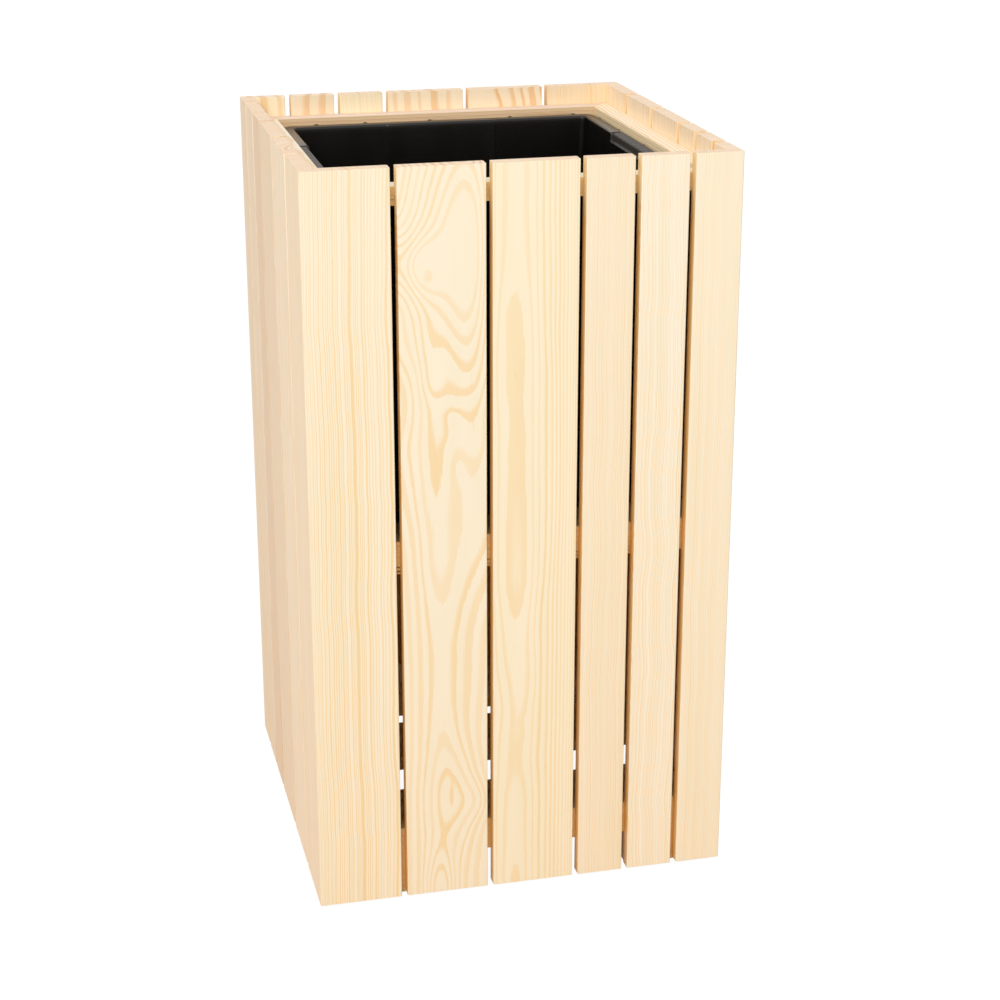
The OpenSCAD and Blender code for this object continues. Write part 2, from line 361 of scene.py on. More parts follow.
def face_colour(g, ins, moved, late, fibre):
    """Planed face: latewood on earlywood, fine fibres, broad shades and resin ducts, then the
    painted warm shade.
    """
    colour = g.mix(late, ins["Early"], ins["Late"])
    broad = g.noise(g.scaled(moved, BROAD_CELL), 1.0, 2.0)
    shade = g.math("MULTIPLY_ADD", fibre, 0.055, 1.0)
    shade = g.math("MULTIPLY_ADD", broad, 0.06, shade)
    bluer = g.math("MULTIPLY_ADD", broad, 0.1, shade)
    colour = g.mix(1.0, colour, g.join(shade, shade, bluer), "MULTIPLY")
    duct = g.ramp(g.noise(g.scaled(moved, DUCT_CELL), 1.0, 1.0), 0.21, 0.30)
    duct = g.math("MULTIPLY", duct, g.math("MULTIPLY_ADD", late, 0.5, 0.35))
    colour = g.mix(g.math("MULTIPLY", duct, 0.55), colour, DUCT)
    # painted warm shade, as much as the surface's share asks for
    painted_shade = g.join(*(g.math("POWER", part, ins["Painted Warm Shade"]) for part in PAINTED_WARM_SHADE))
    return g.mix(1.0, colour, painted_shade, "MULTIPLY")


def end_colour(g, ins, moved, sawn):
    """Sawn end: the rings end on, with saw marks and pores."""
    pores = g.noise(g.scaled(moved, PORE_CELL), 1.0, 2.0)
    shade = g.math("MULTIPLY_ADD", pores, 0.08, 1.0)
    shade = g.math("MULTIPLY_ADD", sawn, 0.05, shade)
    rings = g.mix(ins["Latewood"], END_EARLY, END_LATE)
    return g.mix(1.0, rings, g.grey(shade), "MULTIPLY")


def build_pine_group():
    """Colour, roughness and height of planed pine from its place and its latewood."""
    tree, g, ins, outs = new_group(
        "planed_pine",
        {"Place": (0.0, 0.0, 0.0), "End": 0.0, "Latewood": 0.0, "Seed": 0.0,
         "Early": (0.9, 0.8, 0.6, 1.0), "Late": (0.9, 0.7, 0.4, 1.0), "Contrast": 1.0,
         "Painted Warm Shade": 0.0},
        {"Color": "NodeSocketColor", "Roughness": "NodeSocketFloat",
         "Height": "NodeSocketFloat"},
    )
    shift = g.math("MULTIPLY", ins["Seed"], WOOD_NOISE_STEP)
    moved = g.vector("ADD", ins["Place"], g.join(shift, 0.0, 0.0))
    late = g.math("MULTIPLY", ins["Latewood"], ins["Contrast"])
    fibre = g.noise(g.scaled(moved, FIBRE_CELL), 1.0, 3.0, 0.6)
    sawn = g.noise(g.scaled(moved, SAWN_CELL), 1.0, 2.0)
    face = face_colour(g, ins, moved, late, fibre)
    g.plug(outs["Color"], g.mix(ins["End"], face, end_colour(g, ins, moved, sawn)))

    rough = g.math("MULTIPLY_ADD", late, -0.10, g.math("MULTIPLY_ADD", fibre, 0.16, 0.56))
    g.plug(outs["Roughness"], g.math("MULTIPLY_ADD", ins["End"], 0.16, rough))

    height = g.math("MULTIPLY_ADD", late, 0.35, g.math("MULTIPLY", fibre, 0.8))
    saw_marks = g.math("MULTIPLY", sawn, ins["End"])
    g.plug(outs["Height"], g.math("MULTIPLY_ADD", saw_marks, 1.6, height))
    return tree


SWELLING = build_swell_group()
RINGS = build_ring_group()
PINE = build_pine_group()


class Board:
    """Where one board lies. Its origin is in the middle of its outer face's first edge."""

    def __init__(self, node):
        self.node = node
        self.across, self.out, self.along = board_axes(node)
        low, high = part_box(node)
        half = (high - low) / 2
        half_thick = sum(abs(a * b) for a, b in zip(self.out, half))
        half_long = sum(abs(a * b) for a, b in zip(self.along, half))
        self.origin = (low + high) / 2 + self.out * half_thick - self.along * half_long


def board_axes(node):
    """Across, outward and along directions of a board, from its name."""
    side = next((s for s in SIDES if s in node.split("_")), "front")
    turn = SIDES.index(side) * math.pi / 2
    right = Vector((round(math.cos(turn)), round(math.sin(turn)), 0))
    outward = Vector((round(math.sin(turn)), -round(math.cos(turn)), 0))
    up = Vector((0, 0, 1))
    if "_slat_" in node:
        return right, outward, up
    if "_board_" in node:
        return Vector((0, 1, 0)), up, Vector((1, 0, 0))
    return up, outward, right


def bulge(across, along, width, length, rings, power=2.0):
    """A swelling of the rings: its centre, its reach both ways and how many rings it adds."""
    return {"Centre": (across, 0.0, along), "Reach": (width, THROUGH, length),
            "Height": rings, "Power": power}


def add_bulges(g, place, bulges, start):
    """The rings that all of a board's bulges add at a place."""
    total = start
    for values in bulges:
        total = g.group(SWELLING, {"Place": place, "Before": total, **values})["Rings"]
    return total


# Painted shade: how strongly the warm shade colour is painted on surfaces that stay out of the
# light, for their shade and the warm light bounced between the boards: the slats' sawn edges
# above the top rails and below them, their inner faces, and the top rails' inner faces.
EDGES_AT_TOP = {"front": 0.6, "right": 0.9, "back": 0.6, "left": 0.05}
EDGES_BELOW = 1.5
SLAT_INSIDE_AT_TOP = 0.25
SLAT_INSIDE_BELOW = 1.6
RAIL_INSIDE = {"front": 0.7, "right": 0.42, "back": 0.7, "left": 0.5}
RAIL_HIGH = 805.0       # heights on a slat between which it passes behind the top rail
RAIL_LOW = 770.0
GLARE_FROM = 480.0       # painted glare: the grain of some boards pales from this height to the top, as strong light from above washes it out
GLARE_TO = 848.0


def slat_painted_shade(g, node, place, sideways):
    """Share of painted warm shade on a slat: none on its outer face."""
    _, depth, along = g.split(place)
    below = g.ramp(along, RAIL_HIGH, RAIL_LOW)
    at_top = EDGES_AT_TOP[node.split("_")[0]]
    inner = g.math("MULTIPLY_ADD", below, SLAT_INSIDE_BELOW - SLAT_INSIDE_AT_TOP,
                   SLAT_INSIDE_AT_TOP)
    inner = g.math("MULTIPLY", g.ramp(depth, -2.5, -9.0), inner)
    edge = g.math("MULTIPLY_ADD", below, EDGES_BELOW - at_top, at_top)
    edge = g.math("MULTIPLY", g.ramp(depth, -0.4, -5.0), edge)
    return g.math("MULTIPLY_ADD", sideways, g.math("SUBTRACT", edge, inner), inner)


def top_rail_painted_shade(g, node, place):
    """Share of painted warm shade on a top rail: full where it meets the slats, part on its
    inner face.
    """
    depth = g.split(place)[1]
    outer = g.ramp(depth, -1.5, -0.5)
    inner = g.math("MULTIPLY", g.ramp(depth, -23.0, -23.8), RAIL_INSIDE[node.split("_")[2]])
    return g.math("MAXIMUM", outer, inner)


def painted_shade_share(g, node, place, sideways):
    """How much painted warm shade a surface has. Pieces below the top rails have it in full, all
    over.
    """
    if "_slat_" in node:
        return slat_painted_shade(g, node, place, sideways)
    if node.startswith("top_rail"):
        return top_rail_painted_shade(g, node, place)
    return 1.0


def tinted(colour, tone):
    return tuple(min(c * t, 1.0) for c, t in zip(colour, (*tone, 1.0)))


def board_place(g, board, where):
    """A point's place on the board in millimetres: across, depth (0 at the face), along."""
    offset = g.vector("SUBTRACT", where, tuple(board.origin))
    offset = g.scaled(offset, (1 / MM, 1 / MM, 1 / MM))
    return g.join(g.vector("DOT_PRODUCT", offset, tuple(board.across)),
                  g.vector("DOT_PRODUCT", offset, tuple(board.out)),
                  g.vector("DOT_PRODUCT", offset, tuple(board.along)))


def facing(g, normal, direction, low):
    """1 where the surface looks along the direction or against it, 0 where it doesn't."""
    turned = g.math("ABSOLUTE", g.vector("DOT_PRODUCT", normal, tuple(direction)))
    return g.ramp(turned, low, 0.8)


def pine_material(board, seed, pith, ring, taper=0.0, lean=(0.0, 0.0), wave=1.0, onset=0.5,
                  ragged=1.0, uneven=1.1, contrast=1.0, painted_glare=0.0, late=LATE,
                  tone=(1, 1, 1), start=0.0, swell=(), flecks=(), bend=(0.0, 1.0, 0.0),
                  floor=NO_FLOOR):
    """One board's own pine.

    pith: where the log's middle lay, across and in depth; ring: ring width; both in mm.
    taper: rings narrow outwards; lean and bend: the pith moves across along the board.
    start, swell, flecks, floor: rings added at places, which make loops, knots and islands.
    painted_glare: share of the contrast lost at the top, a painted glare; tone: a tint on the
    board's colours, on the left slats partly painted shade, on the back top rail painted shade.
    """
    material, g, shader = new_material("pine_" + board.node)
    where = g.add("ShaderNodeTexCoord").outputs
    place = board_place(g, board, where["Object"])
    end = facing(g, where["Normal"], board.along, 0.55)
    sideways = facing(g, where["Normal"], board.across, 0.5)
    rings = g.group(RINGS, {
        "Place": place, "Pith": (*pith, 0.0), "Lean": (*lean, 0.0), "Spacing": ring,
        "Taper": taper, "Wave": wave, "Seed": seed, "Onset": onset, "Ragged": ragged,
        "Uneven": uneven, "Floor": floor,
        "Bend From": bend[0], "Bend To": bend[1], "Bend": bend[2],
        "Swell": add_bulges(g, place, swell, start),
        "Fleck": add_bulges(g, place, flecks, 0.0)})
    # painted glare: less latewood contrast towards the top
    glare = g.math("MULTIPLY", g.ramp(g.split(place)[2], GLARE_FROM, GLARE_TO), -painted_glare)
    wood = g.group(PINE, {
        "Place": place, "End": end, "Latewood": rings["Latewood"], "Seed": seed,
        "Early": tinted(EARLY, tone), "Late": tinted(late, tone),
        "Contrast": g.math("MULTIPLY_ADD", glare, contrast, contrast),
        "Painted Warm Shade": painted_shade_share(g, board.node, place, sideways)})
    g.plug(shader.inputs["Base Color"], wood["Color"])
    g.plug(shader.inputs["Roughness"], wood["Roughness"])
    shader.inputs["Specular IOR Level"].default_value = 0.35
    g.relief(shader, wood["Height"], 0.12 * MM, 0.5)
    return material


SPARSE = dict(late=AMBER, onset=0.62, wave=0.5)    # thin dark latewood
# painted warm shade of the left wall, on its two front slats
LEFT_WALL_SHADE = (1.01, 0.945, 0.92)
BUFF = (1.02, 0.97, 0.99)

# How each board was cut from the log: where the pith lay, how wide the rings are.
GRAIN = {
    "front_slat_1": dict(seed=1.0, pith=(90, -30), ring=5.9, taper=0.0058, wave=0.6,
                         contrast=1.2, painted_glare=0.35, tone=(1.0, 0.995, 0.985)),
    "front_slat_2": dict(
        seed=2.0, pith=(-6, -14), ring=13.0, wave=0.3, uneven=0.15, onset=0.45, ragged=2.2,
        start=5.52, bend=(530, 640, 30), floor=0.2,
        contrast=0.8, painted_glare=0.15, tone=(1.0, 0.992, 0.98),
        swell=[
            # the wide loop at the top, pinched at the left edge
            bulge(24, 752, 80, 145, -7.4), bulge(60, 740, 17, 100, 4.5),
            bulge(-66, 746, 24, 38, -7.0), bulge(-22, 738, 22, 34, -4.2),
            bulge(-52, 655, 28, 55, -2.4), bulge(-16, 636, 14, 56, -1.6),
            # the bands and tongues under it
            bulge(-8, 612, 14, 20, -0.8), bulge(9, 574, 10, 14, 0.6),
            bulge(38, 575, 14, 55, -0.7), bulge(38, 542, 20, 24, -1.0),
            bulge(-52, 520, 24, 80, -1.0), bulge(16, 515, 8, 16, 0.35),
            bulge(-14, 505, 17, 80, -1.2), bulge(40, 503, 12, 28, -0.3),
            bulge(55, 455, 45, 110, -3.0), bulge(-8, 450, 14, 26, 0.22),
            bulge(-8, 400, 20, 55, -0.6),
            # the waist
            bulge(40, 262, 30, 60, -0.4), bulge(-56, 240, 20, 150, 0.9),
            # the knot and the loop below it
            bulge(-4, 190, 14, 40, -0.4), bulge(8, 118, 30, 58, -2.6),
            bulge(36, 112, 18, 26, -1.5), bulge(-9, 0, 17, 54, -3.6, 2.2)],
        flecks=[bulge(-15, 729, 6, 9, 0.72), bulge(5, 120, 3, 15, 0.7),
                bulge(-11, 533, 6, 26, 0.2)],
    ),
    "front_slat_3": dict(
        seed=3.0, pith=(-22, -60), ring=2.5, wave=0.08, uneven=0.2, onset=0.48, ragged=1.8,
        start=-22.67, floor=0.7, contrast=0.8, painted_glare=0.2, tone=(1.01, 0.997, 0.955),
        swell=[
            # the straight rings to the right and those above the island
            bulge(38, 430, 28, 1000, -1.6), bulge(4, 430, 10, 1000, 0.35),
            bulge(-41, 790, 9, 110, -0.22), bulge(-32, 800, 8, 110, 0.1),
            bulge(-13, 800, 8, 100, 0.14), bulge(2, 800, 9, 100, -0.18),
            # the long island and its ends
            bulge(-26, 516, 60, 192, -0.72, 8), bulge(-31, 680, 8, 26, -0.22),
            bulge(-42, 610, 10, 70, -0.15), bulge(-12, 590, 5, 14, 0.12),
            bulge(-33, 560, 5, 22, 0.1), bulge(-9, 545, 6, 20, -0.1),
            bulge(-11, 420, 14, 110, -0.16),
            # the smaller forms below it
            bulge(-2, 262, 9, 34, -0.35), bulge(-36, 224, 15, 44, 0.72),
            bulge(-12, 207, 8, 10, 0.18), bulge(-18, 165, 28, 40, 0.42),
            bulge(-30, 110, 12, 30, 0.12), bulge(-21, -8, 9, 40, -0.75)],
        flecks=[bulge(-21, 400, 9, 60, -0.06)],
    ),
    "front_slat_4": dict(seed=4.0, pith=(120, -25), ring=1.5, wave=0.8,
                         contrast=0.9, painted_glare=0.3, tone=(1.0, 0.976, 0.957)),
    "front_slat_5": dict(seed=5.0, pith=(95, -20), ring=3.4, taper=0.005, wave=1.2,
                         contrast=1.25, painted_glare=0.4, tone=(1.02, 1.035, 1.08)),
    "front_slat_6": dict(seed=6.0, pith=(140, -25), ring=1.3, wave=0.5,
                         contrast=0.9, painted_glare=0.4, tone=(1.015, 1.01, 1.01)),
    # The left slats' tones are darker and pinker: partly each board's own tone, partly painted
    # shade on the left wall.
    "left_slat_6": dict(seed=9.6, pith=(110, -30), ring=2.2, wave=0.5, tone=LEFT_WALL_SHADE),
    "left_slat_5": dict(seed=9.5, pith=(22, -30), ring=5.0, wave=0.5, contrast=0.7, tone=LEFT_WALL_SHADE),
    "left_slat_4": dict(seed=9.4, pith=(130, -20), ring=2.0, wave=0.5, tone=(0.94, 0.86, 0.83)),
    "left_slat_3": dict(seed=9.3, pith=(40, -60), ring=3.0, wave=0.6, tone=(0.88, 0.77, 0.73)),
    "left_slat_2": dict(seed=9.2, pith=(-110, -25), ring=2.4, wave=0.5, tone=(0.93, 0.86, 0.84)),
    "left_slat_1": dict(seed=9.1, pith=(90, -40), ring=2.8, wave=0.6, tone=(0.92, 0.86, 0.84)),
    "back_slat_1": dict(seed=7.1, pith=(-120, -20), ring=3.0, contrast=0.7,
                        tone=(0.965, 0.89, 0.86)),
    "back_slat_2": dict(seed=7.2, pith=(30, 30), ring=9.0, late=AMBER, contrast=1.3,
                        tone=(0.99, 0.94, 0.95)),
    "back_slat_3": dict(seed=7.3, pith=(-70, 20), ring=15.0, late=AMBER, contrast=0.7,
                        tone=(0.99, 0.955, 0.97)),
    "back_slat_4": dict(seed=7.4, pith=(-130, 10), ring=4.0, contrast=0.5),
    "back_slat_5": dict(seed=7.5, pith=(60, 10), ring=21.0, late=AMBER, contrast=0.7,
                        tone=(0.96, 0.92, 0.93)),
    "back_slat_6": dict(seed=7.6, pith=(-75, 5), ring=16.0, late=AMBER, contrast=0.8),
    "right_slat_1": dict(SPARSE, seed=8.5, pith=(130, 25), ring=3.2, contrast=0.75, tone=BUFF),
    "right_slat_2": dict(SPARSE, seed=8.6, pith=(-110, 30), ring=4.4, contrast=0.75, tone=BUFF),
    "right_slat_3": dict(SPARSE, seed=8.7, pith=(115, 20), ring=5.0, contrast=0.75, tone=BUFF),
    "right_slat_4": dict(SPARSE, seed=8.8, pith=(-100, 25), ring=4.8, contrast=0.7,
                         tone=(1.02, 0.96, 0.98)),
    "right_slat_5": dict(SPARSE, seed=8.9, pith=(110, 25), ring=4.4, contrast=0.75, tone=BUFF),
    "right_slat_6": dict(SPARSE, seed=9.0, pith=(-100, 30), ring=4.0, contrast=0.75, tone=BUFF),
    "top_rail_right": dict(seed=8.1, pith=(-35, -45), ring=3.4, late=AMBER, wave=0.5,
                           contrast=0.95, uneven=0.7, tone=(0.99, 0.985, 1.0)),
    # its tone darkens it: painted shade on the back top rail
    "top_rail_back": dict(seed=8.2, pith=(-64, -38), ring=2.4, late=RUST, wave=0.4,
                          onset=0.6, contrast=0.8, tone=(0.89, 0.82, 0.87)),
    "top_rail_left": dict(seed=8.3, pith=(-50, -30), ring=2.2, late=RUST, contrast=0.8,
                          wave=0.4, onset=0.6),
}


def random_grain(node, number):
    """A believable cut for a board that has no entry of its own."""
    pick = random.Random(number * 7919 + 11)
    kind = pick.choice(["flat", "rift", "rift", "quarter"])
    side = pick.choice([-1, 1])
    pith = {"flat": (pick.uniform(-20, 20), -pick.uniform(28, 60)),
            "rift": (side * pick.uniform(55, 100), -pick.uniform(25, 60)),
            "quarter": (side * pick.uniform(110, 160), -pick.uniform(5, 25))}[kind]
    return dict(seed=10.0 + number * 1.37, pith=pith, ring=pick.uniform(2.2, 4.6),
                taper=pick.uniform(0.0, 0.004), wave=pick.uniform(0.5, 1.1),
                contrast=1.0 if "_slat_" in node else 0.5,
                lean=(pick.uniform(-0.01, 0.01), pick.uniform(-0.015, 0.015)))


ARRIS = 0.0004          # rounded board edges, metres
WIDE_ARRIS = 0.0009     # where rails and boards lie on each other, so the joint shows
STACKED = ("shelf_board", "floor_board", "mid_rail", "bottom_rail")


def soften_edges(thing, width):
    """Joins the imported corners and rounds the arrises slightly."""
    weld = thing.modifiers.new("weld", "WELD")
    weld.merge_threshold = 1e-5
    bevel = thing.modifiers.new("arris", "BEVEL")
    bevel.width = width
    bevel.segments = 2
    bevel.limit_method = "ANGLE"
    bevel.angle_limit = math.radians(40)
    bevel.harden_normals = True


def dress_wood():
    wooden = [n for n in NODES if "screw" not in n and n != "tub"]
    for number, node in enumerate(sorted(wooden)):
        grain = GRAIN.get(node) or random_grain(node, number)
        NODES[node].material_slots[0].material = pine_material(Board(node), **grain)
        soften_edges(NODES[node], WIDE_ARRIS if node.startswith(STACKED) else ARRIS)


# ---------------------------------------------------------------- screws

def screw_material():
    """Stained steel with fine scratches."""
    material, g, shader = new_material("screw_steel")
    where = g.add("ShaderNodeTexCoord").outputs["Object"]
    stain = g.noise(where, 900.0, 3.0)
    brush = g.noise(where, 6000.0, 2.0)
    colour = g.mix(g.math("ADD", stain, 0.5), srgb(92, 86, 78), srgb(140, 132, 120))
    g.plug(shader.inputs["Base Color"], colour)
    g.plug(shader.inputs["Roughness"], g.math("MULTIPLY_ADD", stain, 0.3, 0.42))
    shader.inputs["Metallic"].default_value = 1.0
    g.relief(shader, brush, 0.04 * MM)
    return material


def dress_screws():
    steel = screw_material()
    for name, thing in NODES.items():
        if "screw" in name:
            thing.material_slots[0].material = steel


# ---------------------------------------------------------------- tub

WALL = 2.5          # wall thickness
RIM_W = 13.5        # flat rim, outer edge to mouth
SKIRT = 12.0        # how far the rim's lip hangs down
TAPER = 18.0        # how much each wall leans in by the floor
RIM_R = 14.0        # plan corner radii
MOUTH_R = 6.0
BASE_R = 22.0
FOOT_ROUND = 6.0    # round from the outer wall into the base
FLOOR_ROUND = 5.0   # round from the inner wall into the floor
FLAT_FROM = 12.0    # how far in from the walls' foot the flat base and floor begin
RIM_ROUND = 1.2     # rounds under the rim
LIP_EDGE = 0.5      # rounds of the lip's lower edge
RIM_EDGE = 1.8      # rounded outer edge of the rim
RECESS_IN = 3.4     # how far in from the rim's edge a grip's recess is full
GRIP_HALF = 65.0    # grips on the left and right rims
GRIP_BACK = 2.5     # how far the grip's inner edge is set back
GRIP_FACE = 11.0    # height of the grip's inner face
GRIP_DROP = 1.0     # recess of the grip's top
GROOVE_D = 1.3      # groove across the rim at each end of a grip
GROOVE_W = 0.8
WAVE_H = 0.3        # finger waves
WAVE_PITCH = 16.0
PANEL_HALF = 67.0   # raised middle panel of each wall
PANEL_H = 0.8
EDGE_R = 2.6        # rounded mouth edge
TUB_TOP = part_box("tub")[1].z / MM

# Where the loops round the tub have their points.
GRIP_STEPS = 64
BESIDE_GRIP = (-1.0, -0.6, -0.2, 0.2, 0.6, 1.0, 1.6, 2.3, 3.2)
END_STEPS = 5
CORNER_STEPS = 7
PLAIN = 1e3         # a place along a side that is beyond its grip and panel


def smooth(value, low, high):
    """Smooth step from 0 at low to 1 at high."""
    t = min(max((value - low) / (high - low), 0.0), 1.0)
    return t * t * (3 - 2 * t)


def quarter_turn(steps):
    """Sine and cosine at even steps over a quarter turn."""
    angles = [math.radians(90 * step / steps) for step in range(steps + 1)]
    return [(math.sin(a), math.cos(a)) for a in angles]


def has_grip(side):
    """Sides 0 and 2, right and left, have grips."""
    return side % 2 == 0


def grip_share(side, s):
    """1 inside a grip, 0 outside it, with a short rounded step between."""
    if not has_grip(side):
        return 0.0
    return 1.0 - smooth(abs(s), GRIP_HALF - 0.9, GRIP_HALF + 0.5)


def groove(side, s):
    """Depth of the narrow groove across the rim at each end of a grip."""
    if not has_grip(side):
        return 0.0
    return GROOVE_D * math.exp(-((abs(s) - GRIP_HALF) / GROOVE_W) ** 2)


def finger_wave(s):
    """Height of the waves along a grip's top."""
    return WAVE_H * (0.5 + 0.5 * math.cos(2 * math.pi * s / WAVE_PITCH)) ** 0.7


def panel_step(s):
    """How far the raised middle panel stands into the tub."""
    return PANEL_H * (1.0 - smooth(abs(s), PANEL_HALF - 1.2, PANEL_HALF + 1.2))


class TubShape:
    """The tub's section, walked from the outer base, over the rim, to the inner floor.

    Each part of it is a list of (half width, height, corner radius in plan).
    """

    def __init__(self):
        low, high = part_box("tub")
        self.rim = high.x / MM
        self.top = high.z / MM
        self.foot = low.z / MM
        self.floor_half = self.rim - RIM_W - TAPER

    def wall_half(self, z):
        """Half width of the inner wall face at a height."""
        part = (z - self.foot) / (self.top - self.foot)
        return self.floor_half + TAPER * part

    def section(self, side, s):
        """The whole section at one place along a side."""
        grip = grip_share(side, s)
        top = self.top - grip * (GRIP_DROP - finger_wave(s)) - groove(side, s)
        back = GRIP_BACK * grip
        panel = panel_step(s)
        return (self.outer_foot() + self.outer_wall() + self.under_rim() + self.lip()
                + self.rim_top(top, self.wall_half(top - EDGE_R) - panel + back)
                + self.grip_face(top, panel, back) + self.inner_wall(panel)
                + self.inner_floor())

    def outer_foot(self):
        half = self.wall_half(self.foot) + WALL
        points = [(half - FLAT_FROM, self.foot, BASE_R - 9)]
        for sine, cosine in quarter_turn(4):
            points.append((half - FOOT_ROUND + FOOT_ROUND * sine,
                           self.foot + FOOT_ROUND - FOOT_ROUND * cosine, BASE_R))
        return points

    def outer_wall(self):
        points = []
        for share in (0.15, 0.4, 0.7, 0.9):
            z = self.foot + (self.top - self.foot) * share
            radius = BASE_R + (MOUTH_R + WALL - BASE_R) * share
            points.append((self.wall_half(z) + WALL, z, radius))
        return points

    def under_rim(self):
        """Out under the rim and down the inside of its lip."""
        under = self.top - WALL
        wall = self.wall_half(under) + WALL
        lip = self.rim - WALL
        return [(wall + 0.3, under - RIM_ROUND, MOUTH_R + WALL),
                (wall + 1.4, under, MOUTH_R + WALL + 1),
                (lip - RIM_ROUND, under, RIM_R - WALL),
                (lip, under - RIM_ROUND, RIM_R - WALL),
                (lip, self.top - SKIRT + LIP_EDGE, RIM_R - WALL)]

    def lip(self):
        """Round the lip's lower edge and up its outside to the rim's flat top."""
        low = self.top - SKIRT
        rim = self.rim
        return [(rim - WALL + LIP_EDGE, low, RIM_R - WALL + LIP_EDGE),
                (rim - LIP_EDGE, low, RIM_R - LIP_EDGE),
                (rim, low + LIP_EDGE, RIM_R),
                (rim, self.top - RIM_EDGE, RIM_R),
                (rim - 0.5, self.top - 0.55, RIM_R - 0.5),
                (rim - RIM_EDGE, self.top, RIM_R - 1.5)]

    def rim_top(self, top, edge):
        """Across the rim, down into a grip's recess, and round the mouth's edge."""
        flat = self.rim - RECESS_IN
        slope = self.rim - (RIM_EDGE + RECESS_IN) / 2
        points = [(slope, self.top - 0.4 * (self.top - top), RIM_R - 2.2),
                  (flat, top, RIM_R - 3)]
        for share in (0.35, 0.7):
            half = flat - (flat - edge - EDGE_R) * share
            points.append((half, top, RIM_R - 5 * share - 3))
        for sine, cosine in quarter_turn(5):
            out = EDGE_R - EDGE_R * sine
            points.append((edge + out, top - EDGE_R + EDGE_R * cosine, MOUTH_R + out))
        return points

    def grip_face(self, top, panel, back):
        """Down the grip's face and over its ledge, back to the wall."""
        ledge = self.top - GRIP_FACE
        wall = self.wall_half(ledge) - panel
        points = []
        for z in ((top - EDGE_R + ledge) / 2, ledge + 0.9):
            points.append((self.wall_half(z) - panel + back, z, MOUTH_R))
        points.append((wall + back * 0.85, ledge + 0.15, MOUTH_R))
        points.append((wall + back * 0.25, ledge, MOUTH_R))
        for z in (ledge - 0.2, ledge - 0.5):
            points.append((self.wall_half(z) - panel, z, MOUTH_R))
        return points

    def inner_wall(self, panel):
        base = self.foot + WALL
        ledge = self.top - GRIP_FACE
        points = []
        for share in (0.92, 0.85, 0.7, 0.5, 0.3, 0.12):
            z = base + (ledge - base) * share
            radius = BASE_R - WALL + (MOUTH_R - BASE_R + WALL) * share
            points.append((self.wall_half(z) - panel, z, radius))
        return points

    def inner_floor(self):
        base = self.foot + WALL
        half = self.wall_half(base)
        points = []
        for step, (sine, cosine) in enumerate(quarter_turn(4)):
            points.append((half - FLOOR_ROUND + FLOOR_ROUND * cosine,
                           base + FLOOR_ROUND - FLOOR_ROUND * sine,
                           BASE_R - WALL - step / 4))
        points.append((half - FLAT_FROM, base, BASE_R - 11))
        return points


def side_places(straight):
    """Places along one straight side: fine in the middle for grips and panel steps."""
    middle = [-GRIP_HALF + 2 * GRIP_HALF * i / GRIP_STEPS for i in range(1, GRIP_STEPS)]
    beside = [GRIP_HALF + d for d in BESIDE_GRIP]
    length = straight - beside[-1]
    ends = [beside[-1] + length * i / END_STEPS for i in range(1, END_STEPS + 1)]
    right = beside + ends
    return [-s for s in reversed(right)] + middle + right


def tub_loop(shape, index):
    """One closed loop of points round the tub, at one point of the section."""
    loop = []
    for side in range(4):
        turn = side * math.pi / 2
        normal = Vector((math.cos(turn), math.sin(turn), 0))
        tangent = Vector((-math.sin(turn), math.cos(turn), 0))
        half, z, radius = shape.section(side, PLAIN)[index]
        for s in side_places(half - radius):
            own_half, own_z, _ = shape.section(side, s)[index]
            loop.append(normal * own_half + tangent * s + Vector((0, 0, own_z)))
        centre = (normal + tangent) * (half - radius) + Vector((0, 0, z))
        for step in range(1, CORNER_STEPS):
            a = math.pi / 2 * step / CORNER_STEPS
            arc = normal * math.cos(a) + tangent * math.sin(a)
            loop.append(centre + arc * radius)
    return loop


def build_tub():
    shape = TubShape()
    bm = bmesh.new()
    rings = []
    for index in range(len(shape.section(0, 0.0))):
        rings.append([bm.verts.new(point * MM) for point in tub_loop(shape, index)])
    for lower, upper in zip(rings, rings[1:]):
        for i in range(len(lower)):
            j = (i + 1) % len(lower)
            bm.faces.new((lower[i], lower[j], upper[j], upper[i]))
    bm.faces.new(list(reversed(rings[0])))
    bm.faces.new(rings[-1])
    bmesh.ops.recalc_face_normals(bm, faces=bm.faces)
    tub = mesh_object("tub_moulded", bm)
    for polygon in tub.data.polygons:
        polygon.use_smooth = True
    tub.data.materials.append(tub_material())
    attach(tub, "liner")
    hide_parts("tub")


# The plastic's colours, and the scales of its detail per metre.
PLASTIC_DARK = srgb(9, 8, 7)
PLASTIC_LIGHT = srgb(14, 13, 11)
PLASTIC_SCUFFED = srgb(30, 28, 25)
# painted warm bounce light: the outer walls lighter and browner than the black plastic
PLASTIC_OUTSIDE_WARM_LIT = srgb(26, 21, 18)
PLASTIC_GRIP = srgb(46, 40, 35)
FINE_SCALE = 1400.0
FLOW_SCALES = (30.0, 30.0, 6.0)
SCUFF_SCALES = (260.0, 260.0, 40.0)


def outside_area(g, where, normal):
    """1 on the outer walls below the lip, 0 elsewhere."""
    lip = TUB_TOP - SKIRT
    outward = g.vector("DOT_PRODUCT", normal, g.scaled(where, (1.0, 1.0, 0.0)))
    below = g.ramp(g.split(where)[2], (lip - 2.0) * MM, (lip - 6.0) * MM)
    return g.math("MULTIPLY", g.ramp(outward, 0.05, 0.12), below)


def grip_area(g, where):
    """1 on the grips, 0 elsewhere."""
    _, y, z = g.split(where)
    ledge = TUB_TOP - GRIP_FACE
    between = g.ramp(g.math("ABSOLUTE", y), (GRIP_HALF + 1) * MM, GRIP_HALF * MM)
    above = g.ramp(z, (ledge - 1.5) * MM, ledge * MM)
    return g.math("MULTIPLY", between, above)


